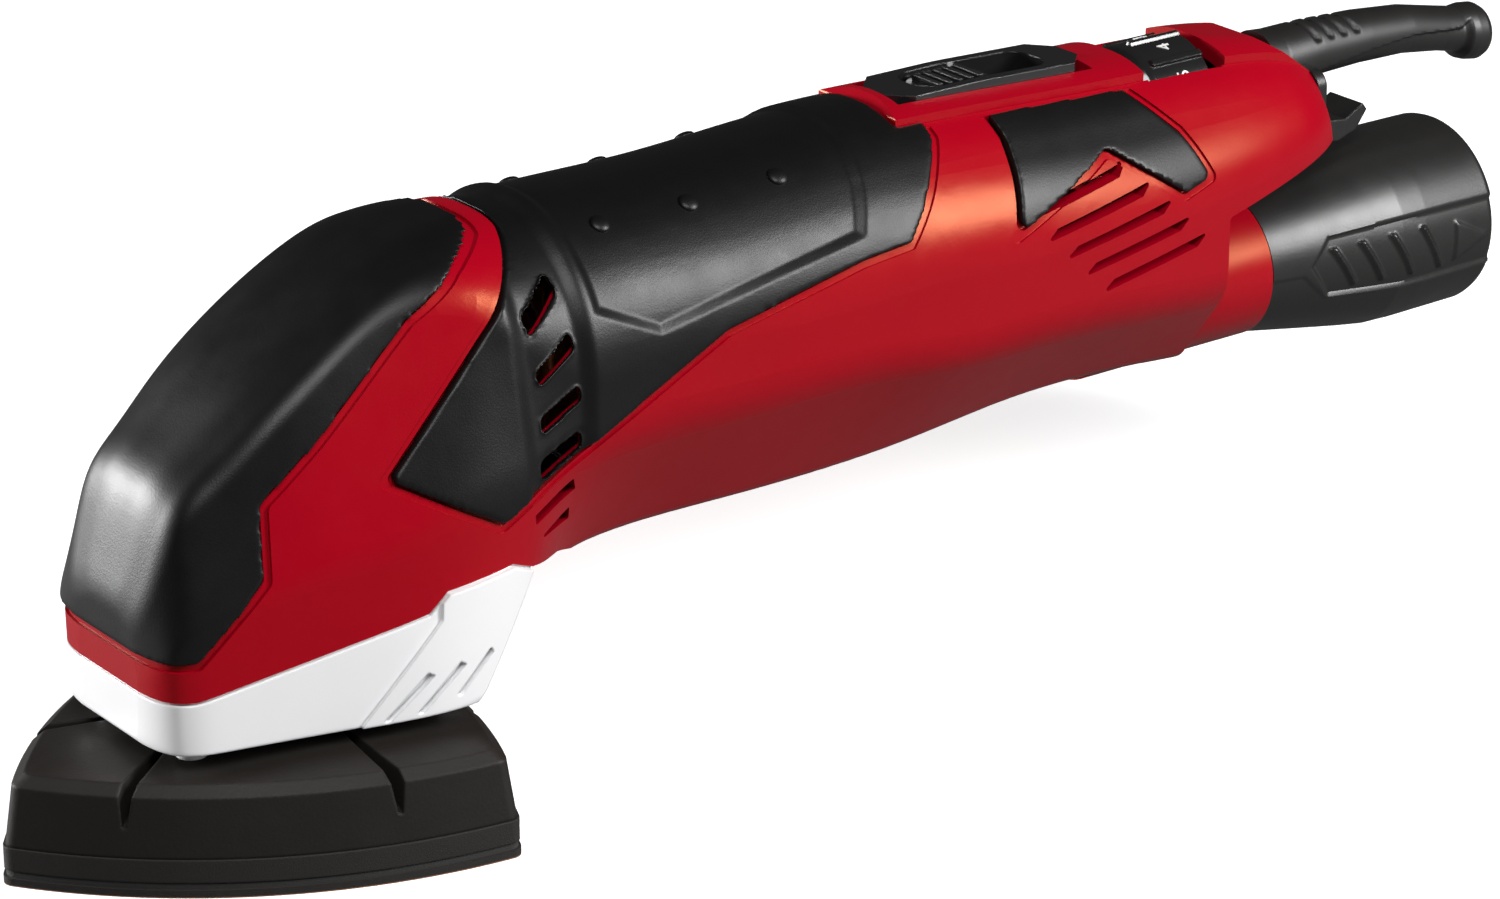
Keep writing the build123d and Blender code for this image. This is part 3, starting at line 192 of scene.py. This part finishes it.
def pick(*pieces):
    """Selects these pieces alone, the first of them active."""
    bpy.ops.object.select_all(action="DESELECT")
    for piece in pieces:
        piece.select_set(True)
    bpy.context.view_layer.objects.active = pieces[0]


def close_seams(piece, distance):
    """Merges the corners that meet and turns all faces outwards."""
    pick(piece)
    bpy.ops.object.mode_set(mode="EDIT")
    bpy.ops.mesh.select_all(action="SELECT")
    bpy.ops.mesh.remove_doubles(threshold=distance)
    bpy.ops.mesh.normals_make_consistent(inside=False)
    bpy.ops.object.mode_set(mode="OBJECT")


def worked_copy(name, sources, body):
    """A new piece from CAD shapes: copied, joined and merged, ready to be shaped."""
    copies = []
    for source in sources:
        copies.append(bpy.data.objects.new(name, nodes[source].data.copy()))
        bpy.context.collection.objects.link(copies[-1])
    pick(*copies)
    if len(copies) > 1:
        bpy.ops.object.join()
    piece = copies[0]
    piece.name = name
    piece.data.materials.clear()
    close_seams(piece, MERGE_DISTANCE)
    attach(piece, body)
    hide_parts(*sources)
    return piece


def round_over(piece, voxel):
    """Rebuilds a piece in small even faces and rubs its edges round."""
    pick(piece)
    bpy.ops.object.modifier_add(type="REMESH")
    piece.modifiers[-1].mode = "VOXEL"
    piece.modifiers[-1].voxel_size = voxel
    bpy.ops.object.modifier_apply(modifier=piece.modifiers[-1].name)
    bpy.ops.object.modifier_add(type="SMOOTH")
    piece.modifiers[-1].factor = 0.5
    piece.modifiers[-1].iterations = SMOOTH_PASSES
    bpy.ops.object.modifier_apply(modifier=piece.modifiers[-1].name)
    bpy.ops.object.shade_smooth()


soft_rubber = moulded("soft_rubber", (0.0030, 0.0028, 0.0028), (0.0042, 0.0039, 0.0038), (0.34, 0.44), 2600,
                      0.00004, shine=0.3)
head_cap = worked_copy("soft_head_cap", ["head_cap"], "housing")
round_over(head_cap, 0.00055)
head_cap.data.materials.append(soft_rubber)

# Neck grip: the same rubber, wrapped round the neck, in one piece with the head's side
# panels.  A sunk band runs round it at the front, and a sunk panel lies under the thumb.
GRIP_AXIS_Z = 80
BAND_FRONT, BAND_REAR, BAND_DEPTH = 41.0, 58.5, 1.2
THUMB_PANEL = [(59.5, 140), (59.5, 93.2), (73.5, 86.6), (122.9, 94.6), (126.8, 102.9), (129.4, 110.3),
               (131, 140)]
THUMB_PANEL_DEPTH, THUMB_PANEL_SLOPE = 0.9, 2.0


def corners_of(piece):
    """The places and outward directions of all corners of a piece, in millimetres."""
    count = len(piece.data.vertices)
    places, normals = np.empty(count * 3), np.empty(count * 3)
    piece.data.vertices.foreach_get("co", places)
    piece.data.vertices.foreach_get("normal", normals)
    return places.reshape(-1, 3) * 1000, normals.reshape(-1, 3)


def put_corners(piece, places):
    """Moves the corners of a piece to these places, given in millimetres."""
    piece.data.vertices.foreach_set("co", (places / 1000).ravel())
    piece.data.update()


def ramp(value, low, high):
    """Rises softly from 0 at low to 1 at high."""
    share = np.clip((value - low) / (high - low), 0, 1)
    return share * share * (3 - 2 * share)


def plateau(x, z, outline, slope):
    """1 inside a drawn outline and 0 outside it, with a slope of this width within its edge."""
    nearest = np.full(len(x), np.inf)
    inside = np.zeros(len(x), bool)
    for (x0, z0), (x1, z1) in zip(outline, outline[1:] + outline[:1]):
        dx, dz = x1 - x0, z1 - z0
        share = np.clip(((x - x0) * dx + (z - z0) * dz) / (dx * dx + dz * dz), 0, 1)
        nearest = np.minimum(nearest, np.hypot(x - x0 - share * dx, z - z0 - share * dz))
        if dz:
            inside ^= ((z0 > z) != (z1 > z)) & (x < x0 + (z - z0) * dx / dz)
    return np.where(inside, np.clip(nearest / slope, 0, 1), 0)


neck_grip = worked_copy("soft_neck_grip", ["neck_grip_left", "neck_grip_right"], "housing")
round_over(neck_grip, 0.00055)
places, normals = corners_of(neck_grip)
x, y, z = places.T
outwards = np.stack([0 * x, y, z - GRIP_AXIS_Z], 1)
outwards /= np.linalg.norm(outwards, axis=1)[:, None]
facing = np.clip((normals * outwards).sum(1), 0, 1)
band = ramp(x, BAND_FRONT - 1.0, BAND_FRONT + 3.5) * (1 - ramp(x, BAND_REAR - 4.0, BAND_REAR))
panel = plateau(x, z, THUMB_PANEL, THUMB_PANEL_SLOPE)
sunk = np.maximum(band * BAND_DEPTH, panel * THUMB_PANEL_DEPTH) * facing
put_corners(neck_grip, places - outwards * sunk[:, None])
neck_grip.data.materials.append(soft_rubber)

# Rear grips: two small rubber inserts beside the switch, one on each side.
# They follow the shell's curve in pockets of their own.
for side in ("left", "right"):
    rear_grip = worked_copy("soft_rear_grip_" + side, ["rear_grip_" + side], "housing")
    round_over(rear_grip, 0.0005)
    rear_grip.data.materials.append(soft_rubber)

# Grip pips: two rows of three small rubber domes on top of the neck, for the thumb.
# Each stands square on the skin, where a line dropped from above meets the grip.
PIP_R, PIP_HEIGHT = 0.0021, 0.0009
PIP_ROW_Y = 0.015
PIP_ROW_X = (0.0695, 0.0900, 0.1110)
ABOVE_TOOL = 0.2


def joined(pieces, name, material, body):
    """Makes one piece of several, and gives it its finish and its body."""
    pick(*pieces)
    bpy.ops.object.join()
    pieces[0].name = name
    pieces[0].data.materials.clear()
    pieces[0].data.materials.append(material)
    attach(pieces[0], body)


pips = []
for side in (-1, 1):
    for pip_x in PIP_ROW_X:
        _, place, normal, _ = neck_grip.ray_cast(Vector((pip_x, side * PIP_ROW_Y, ABOVE_TOOL)),
                                                 Vector((0, 0, -1)))
        bpy.ops.mesh.primitive_uv_sphere_add(segments=28, ring_count=14, radius=1)
        pip = bpy.context.object
        pip.data.transform(Matrix.Translation(place) @ normal.to_track_quat("Z", "Y").to_matrix().to_4x4()
                           @ Matrix.Diagonal((PIP_R, PIP_R, PIP_HEIGHT, 1)))
        pips.append(pip)
joined(pips, "grip_pips", soft_rubber, "housing")
bpy.ops.object.shade_smooth()

# Base cover: a silver-painted moulding under the head, with two small bumpers of the same
# colour.  The paint softens its edges.
silver_paint = moulded("silver_paint", (0.90, 0.90, 0.91), (0.83, 0.83, 0.84), (0.34, 0.44), 3200, 0.00002,
                       edge=0.0006, metal=0.15)
dress(silver_paint, "base_cover", "base_bumpers")

# Dust adapter: a tapered black tube pushed onto the rear spigot.  Each side has a sunk
# panel with four slanted grip ribs and an arrow that shows which way it pulls off.
PORT_Z = 56.2
ADAPTER_BORE_R, ADAPTER_ROOT_R = 18.0, 13.2
ADAPTER_SKIN = [(241.3, ADAPTER_ROOT_R), (241.3, 15.4), (258.0, 18.2), (268.0, 19.85), (274.3, 20.75),
                (281.0, 20.95), (299.6, 20.8), (300.5, 20.5), (300.8, 19.6), (300.8, 18.6),
                (300.2, ADAPTER_BORE_R)]
ADAPTER_WALL = [(300.2, ADAPTER_BORE_R), (273.4, ADAPTER_BORE_R), (259.3, ADAPTER_ROOT_R),
                (241.3, ADAPTER_ROOT_R)]
ADAPTER_SIDE_R = 20.5                 # turns an angle round the tube into a length along its side
SIDE_PANEL = [(301.5, -8.2), (255.6, -8.6), (250.6, -1.8), (255.4, 7.2), (301.5, 7.0)]
PULL_ARROW = [(289.0, -5.0), (299.4, 0.2), (289.0, 5.0)]
LOWER_LIP = [(240, 0.3), (249.0, 0.3), (251.6, 3.5), (255.6, 7.6), (302, 7.4), (302, 40), (240, 40)]
GRIP_RIB = [(0, -5.6), (1.9, -5.6), (8.0, 5.2), (6.1, 5.2)]
GRIP_RIB_FEET = (255.4, 262.6, 270.4, 278.6)
SHARP_EDGE = radians(38)


def walk(points, pitch):
    """Evenly pitched points along straight runs from the first point to the last, without the last."""
    path = []
    for start, end in zip(points, points[1:]):
        count = max(1, int(round(np.hypot(end[0] - start[0], end[1] - start[1]) / pitch)))
        path += [(start[0] + (end[0] - start[0]) * i / count, start[1] + (end[1] - start[1]) * i / count)
                 for i in range(count)]
    return path


def turned_tube(name, profile, around, body, source):
    """A sheet to be wrapped along X, with the row, turn, length and radius of each corner."""
    rows = len(profile)
    bpy.ops.object.select_all(action="DESELECT")
    bpy.ops.mesh.primitive_grid_add(x_subdivisions=rows - 1, y_subdivisions=around, size=1)
    tube = bpy.context.object
    tube.name = name
    spots = np.empty(len(tube.data.vertices) * 3)
    tube.data.vertices.foreach_get("co", spots)
    spots = spots.reshape(-1, 3)
    row = np.rint((spots[:, 0] + 0.5) * (rows - 1)).astype(int)
    angle = (spots[:, 1] + 0.5) * 2 * pi
    length = np.array([point[0] for point in profile])[row]
    radius = np.array([point[1] for point in profile])[row]
    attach(tube, body)
    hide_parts(source)
    return tube, row, angle, length, radius


def degrees_from_top(angle):
    """How far round from the top a corner lies, either way: 0 on top, 90 at the sides."""
    return np.degrees(np.minimum(angle, 2 * pi - angle))


def finish_tube(tube, material):
    """Joins the tube's seams, smooths its shading and gives it its finish."""
    close_seams(tube, 0.00001)
    bpy.ops.object.shade_smooth_by_angle(angle=SHARP_EDGE)
    tube.data.materials.append(material)


BLACK, BLACK_CLOUD = (0.010, 0.0095, 0.009), (0.013, 0.0125, 0.012)
black_abs = moulded("black_abs", BLACK, BLACK_CLOUD, (0.30, 0.42), 1800, 0.00003)
skin_profile = walk(ADAPTER_SKIN, 0.42)
profile = skin_profile + walk(ADAPTER_WALL, 3) + [ADAPTER_WALL[-1]]
adapter, row, angle, length, radius = turned_tube("port_adapter", profile, 300, "dust_adapter",
                                                  "dust_adapter")
below_side = (degrees_from_top(angle) - 90) * pi / 180 * ADAPTER_SIDE_R
relief = -0.65 * plateau(length, below_side, SIDE_PANEL, 0.7)
for foot_x in GRIP_RIB_FEET:
    rib = [(foot_x + x, z) for x, z in GRIP_RIB]
    relief += 0.75 * plateau(length, below_side, rib, 0.55)
relief += 0.5 * plateau(length, below_side, PULL_ARROW, 0.6)
relief -= 0.22 * plateau(length, below_side, LOWER_LIP, 0.35)
radius = radius + np.where(row < len(skin_profile), relief, 0)
put_corners(adapter, np.stack([length, radius * np.sin(angle), PORT_Z + radius * np.cos(angle)], 1))
finish_tube(adapter, black_abs)

# Bend sleeve: a soft rubber tube moulded under a hood that thins out towards its end,
# with four gripping grooves across the root and a rolled lip where the lead comes out.
SLEEVE_START, SLEEVE_Z, SLEEVE_DROOP = 247.0, 98.6, radians(2.5)
LEAD_R = 3.6
SLEEVE_SKIN = [(247.2, LEAD_R), (247.2, 7.25), (268.0, 6.5), (300.0, 5.4), (305.0, 5.45), (306.6, 5.9),
               (308.2, 6.2), (310.8, 6.25), (312.0, 5.7), (312.4, 4.6), (312.2, LEAD_R)]
SLEEVE_BORE = [(312.2, LEAD_R), (247.2, LEAD_R)]
HOOD_AT = [247, 256, 262, 275, 290, 300, 304, 307]
HOOD_REACH = [150, 128, 112, 98, 82, 74, 66, 40]            # degrees down from the top
HOOD_STEP, HOOD_EDGE = 1.0, 5
ARCH_AT = [247, 252, 262, 276, 289, 300, 306, 312]
ARCH_RISE = [0, 0.1, 1.0, 1.5, 1.3, -0.1, -1.1, -1.7]
GROOVES_X = (258.6, 262.4, 266.2, 270.0)
GROOVE_DEPTH, GROOVE_SLANT = 0.7, 0.035
sleeve_rubber = moulded("sleeve_rubber", (0.009, 0.0085, 0.008), (0.013, 0.012, 0.0115), (0.36, 0.48), 2200,
                        0.00003)
skin_profile = walk(SLEEVE_SKIN, 0.35)
profile = skin_profile + walk(SLEEVE_BORE, 5) + [SLEEVE_BORE[-1]]
sleeve, row, angle, length, radius = turned_tube("bend_sleeve", profile, 110, "housing",
                                                 "cable_sleeve")
degrees_down = degrees_from_top(angle)
under_hood = np.clip((degrees_down - np.interp(length, HOOD_AT, HOOD_REACH)) / HOOD_EDGE, 0, 1)
under_hood *= np.clip((length - 250) / 4, 0, 1) * np.clip((306.5 - length) / 1.0, 0, 1)
relief = -HOOD_STEP * under_hood
for groove_x in GROOVES_X:
    across = np.abs(length - groove_x - degrees_down * GROOVE_SLANT)
    relief -= GROOVE_DEPTH * (1 - ramp(across, 0.35, 1.15)) * (1 - ramp(degrees_down, 48, 62))
radius = radius + np.where(row < len(skin_profile), relief, 0)
along = length - SLEEVE_START
arch = np.where(length < ARCH_AT[1], 0, np.interp(length, ARCH_AT, ARCH_RISE))
up = radius * np.cos(angle) + arch
put_corners(sleeve, np.stack([SLEEVE_START + along * cos(SLEEVE_DROOP) + up * sin(SLEEVE_DROOP),
                              radius * np.sin(angle),
                              SLEEVE_Z - along * sin(SLEEVE_DROOP) + up * cos(SLEEVE_DROOP)], 1))
finish_tube(sleeve, sleeve_rubber)

# End cap and dust skirt: hard black mouldings with eased edges.  The cap closes the cable
# end and carries the hook, and the skirt leads the dust from the pad into the housing.
hard_black = moulded("hard_black", BLACK, BLACK_CLOUD, (0.30, 0.42), 1800, 0.00003, edge=0.0006)
dress(hard_black, "end_cap", "dust_skirt")

# Slide switch: a polished black bezel let into the top plate, and a slider in it that is
# a shade duller.
gloss_abs = moulded("gloss_abs", (0.008, 0.008, 0.009), (0.012, 0.012, 0.012), (0.10, 0.18), 900, 0.00001,
                    edge=0.0004, coat=0.5)
dress(gloss_abs, "switch_bezel")
slider_abs = moulded("slider_abs", (0.013, 0.013, 0.014), (0.018, 0.018, 0.018), (0.2, 0.3), 1500, 0.00002,
                     edge=0.0003, coat=0.2)
dress(slider_abs, "switch_slider")

# Speed dial: a polished wheel with ten bars across its tread and the numbers 1 to 6
# printed between them.  Its front edge is chamfered.
DIAL_AXIS_Z, DIAL_BORE_R, DIAL_TREAD_R = 97.1, 2.7, 12.25
DIAL_SKIN = [(226.0, DIAL_BORE_R), (226.0, 11.9), (225.6, DIAL_TREAD_R), (211.6, DIAL_TREAD_R), (210.4, 12.0),
             (209.2, 11.2), (208.2, 9.8), (208.0, DIAL_BORE_R)]
DIAL_BORE = [(208.0, DIAL_BORE_R), (226.0, DIAL_BORE_R)]
DIAL_BARS, BAR_HEIGHT = 10, 0.7
NUMBER_SIZE, NUMBER_THICKNESS, NUMBER_X = 0.0044, 0.0001, 0.219
dial_profile = walk(DIAL_SKIN, 0.3) + walk(DIAL_BORE, 6) + [DIAL_BORE[-1]]
dial, row, angle, length, radius = turned_tube("marked_dial", dial_profile, 240, "speed_dial",
                                               "speed_dial")
half_bar_pitch = 180 / DIAL_BARS
degrees_off_bar = np.abs((np.degrees(angle) + half_bar_pitch) % (2 * half_bar_pitch) - half_bar_pitch)
off_bar = degrees_off_bar * pi / 180 * 12.3
on_tread = (length > 212.2) & (radius > 12.2)
radius = radius + np.where(on_tread, BAR_HEIGHT * (1 - ramp(off_bar, 0.55, 1.0)), 0)
put_corners(dial, np.stack([length, radius * np.sin(angle), DIAL_AXIS_Z + radius * np.cos(angle)], 1))
finish_tube(dial, gloss_abs)

white_ink = moulded("white_ink", (0.75, 0.75, 0.73), (0.66, 0.66, 0.65), (0.4, 0.5), 2000, 0.00001)
marks = []
for number in range(1, 7):
    bpy.ops.object.text_add()
    mark = bpy.context.object
    mark.data.body = str(number)
    mark.data.size = NUMBER_SIZE
    mark.data.align_x = "CENTER"
    mark.data.align_y = "CENTER"
    mark.data.extrude = NUMBER_THICKNESS
    mark.data.resolution_u = 6
    bpy.ops.object.convert(target="MESH")
    mark = bpy.context.object
    round_dial = Matrix.Rotation(radians(2 * half_bar_pitch * (number - 1) - 90), 4, "X")
    mark.data.transform(Matrix.Translation((NUMBER_X, 0, DIAL_AXIS_Z / 1000)) @ round_dial
                        @ Matrix.Translation((0, 0, DIAL_TREAD_R / 1000 + NUMBER_THICKNESS / 2))
                        @ Matrix.Rotation(pi / 2, 4, "Z"))
    marks.append(mark)
joined(marks, "dial_numbers", white_ink, "speed_dial")

# Sanding pad: a moulded rubber plate on dense foam, with hook fabric that holds the sheet.
# The sheet is dark paper, and its underside is covered in red-brown grit.
pad_rubber = moulded("pad_rubber", (0.0095, 0.0078, 0.0066), (0.0135, 0.0112, 0.0096), (0.44, 0.58), 1400,
                     0.00006, edge=0.0008, shine=0.3)
dress(pad_rubber, "pad_carrier", "swing_feet", "rear_bearing_seat")
dense_foam = moulded("dense_foam", (0.0095, 0.008, 0.007), (0.0135, 0.0115, 0.010), (0.6, 0.75), 3600,
                     0.00012, edge=0.0004)
dress(dense_foam, "pad_foam")
hook_fabric = moulded("hook_fabric", (0.010, 0.009, 0.008), (0.018, 0.016, 0.015), (0.75, 0.9), 5200, 0.0002,
                      sheen=0.1)
dress(hook_fabric, "hook_layer")
GRIT_BELOW, PAPER_ABOVE = 0.0001, 0.0003
GRIT_SCALE = 2600
grit_paper = moulded("grit_paper", (0.010, 0.0085, 0.0075), (0.016, 0.0135, 0.012), (0.7, 0.85), 6500, 0.0002)
paper = grit_paper.node_tree
paper_place = paper.nodes["Texture Coordinate"]
paper_shader = paper.nodes["Principled BSDF"]
paper_tint = paper_shader.inputs["Base Color"].links[0].from_socket
height = paper.nodes.new("ShaderNodeSeparateXYZ")
paper.links.new(paper_place.outputs["Object"], height.inputs["Vector"])
grit_share = paper.nodes.new("ShaderNodeMapRange")
grit_share.inputs["From Min"].default_value = PAPER_ABOVE
grit_share.inputs["From Max"].default_value = GRIT_BELOW
paper.links.new(height.outputs["Z"], grit_share.inputs["Value"])
grains = paper.nodes.new("ShaderNodeTexVoronoi")
grains.inputs["Scale"].default_value = GRIT_SCALE
paper.links.new(paper_place.outputs["Object"], grains.inputs["Vector"])
grit_tint = blend(paper, grains.outputs["Distance"], (0.20, 0.075, 0.035), (0.42, 0.20, 0.11))
paper_or_grit = paper.nodes.new("ShaderNodeMix")
paper_or_grit.data_type = "RGBA"
paper.links.new(grit_share.outputs["Result"], paper_or_grit.inputs["Factor"])
paper.links.new(paper_tint, paper_or_grit.inputs["A"])
paper.links.new(grit_tint.outputs["Result"], paper_or_grit.inputs["B"])
paper.links.new(paper_or_grit.outputs["Result"], paper_shader.inputs["Base Color"])
dress(grit_paper, "sanding_sheet")

# Fixings, shafts and bearings: bright machined steel, a little rubbed.
# The bevel pair on the armature and the spindle is cut from the same steel.
machined_steel = moulded("machined_steel", (0.56, 0.56, 0.57), (0.46, 0.46, 0.48), (0.22, 0.38), 700, 0.00001,
                         edge=0.0002, metal=1.0)
dress(machined_steel, "housing_screws", "base_screws", "clamp_screws", "pad_screw", "pad_washer", "dial_pin",
      "spindle", "bevel_gear", "bevel_pinion", "armature_shaft", "brush_springs", "pad_bearing",
      "spindle_bearing_lower", "spindle_bearing_upper", "motor_bearing_front", "motor_bearing_rear")

# Gear plates and counterweight: grey die castings with a sandy skin.
# The two plates hold the bearings, and the counterweight turns with the spindle.
cast_alloy = moulded("cast_alloy", (0.50, 0.50, 0.51), (0.40, 0.40, 0.41), (0.42, 0.56), 900, 0.00006,
                     edge=0.0004, metal=1.0)
dress(cast_alloy, "bearing_plate", "gear_bracket", "counterweight")

# Motor: stacked steel sheets, lacquered copper wire, a turned commutator and carbon
# brushes.  All of it lies inside the closed housing.
laminated_steel = moulded("laminated_steel", (0.30, 0.30, 0.31), (0.20, 0.20, 0.21), (0.35, 0.5), 900,
                          0.00004, edge=0.0003, metal=1.0)
dress(laminated_steel, "armature_core", "stator_core")
copper_wire = moulded("copper_wire", (0.52, 0.20, 0.07), (0.36, 0.12, 0.04), (0.25, 0.4), 1100, 0.00015,
                      edge=0.0004, metal=0.9, coat=0.4)
dress(copper_wire, "armature_windings", "field_coils")
turned_copper = moulded("turned_copper", (0.70, 0.36, 0.20), (0.58, 0.27, 0.14), (0.2, 0.34), 1500, 0.00001,
                        edge=0.0002, metal=1.0)
dress(turned_copper, "commutator")
pressed_carbon = moulded("pressed_carbon", (0.024, 0.024, 0.025), (0.034, 0.034, 0.035), (0.5, 0.65), 2500,
                         0.00003, edge=0.0002)
dress(pressed_carbon, "carbon_brushes")

# Inner mouldings and the speed board: plain dark nylon, and a green lacquered board
# under the dial.
inner_nylon = moulded("inner_nylon", (0.035, 0.035, 0.038), (0.045, 0.045, 0.048), (0.4, 0.5), 900, 0.00002,
                      edge=0.0004)
dress(inner_nylon, "switch_block", "capacitor", "brush_holders", "fan", "motor_carrier", "dust_duct",
      "cable_clamp")
lacquered_board = moulded("lacquered_board", (0.02, 0.12, 0.045), (0.03, 0.16, 0.06), (0.25, 0.4), 1500,
                          0.00002, edge=0.0002, coat=0.3)
dress(lacquered_board, "speed_board")
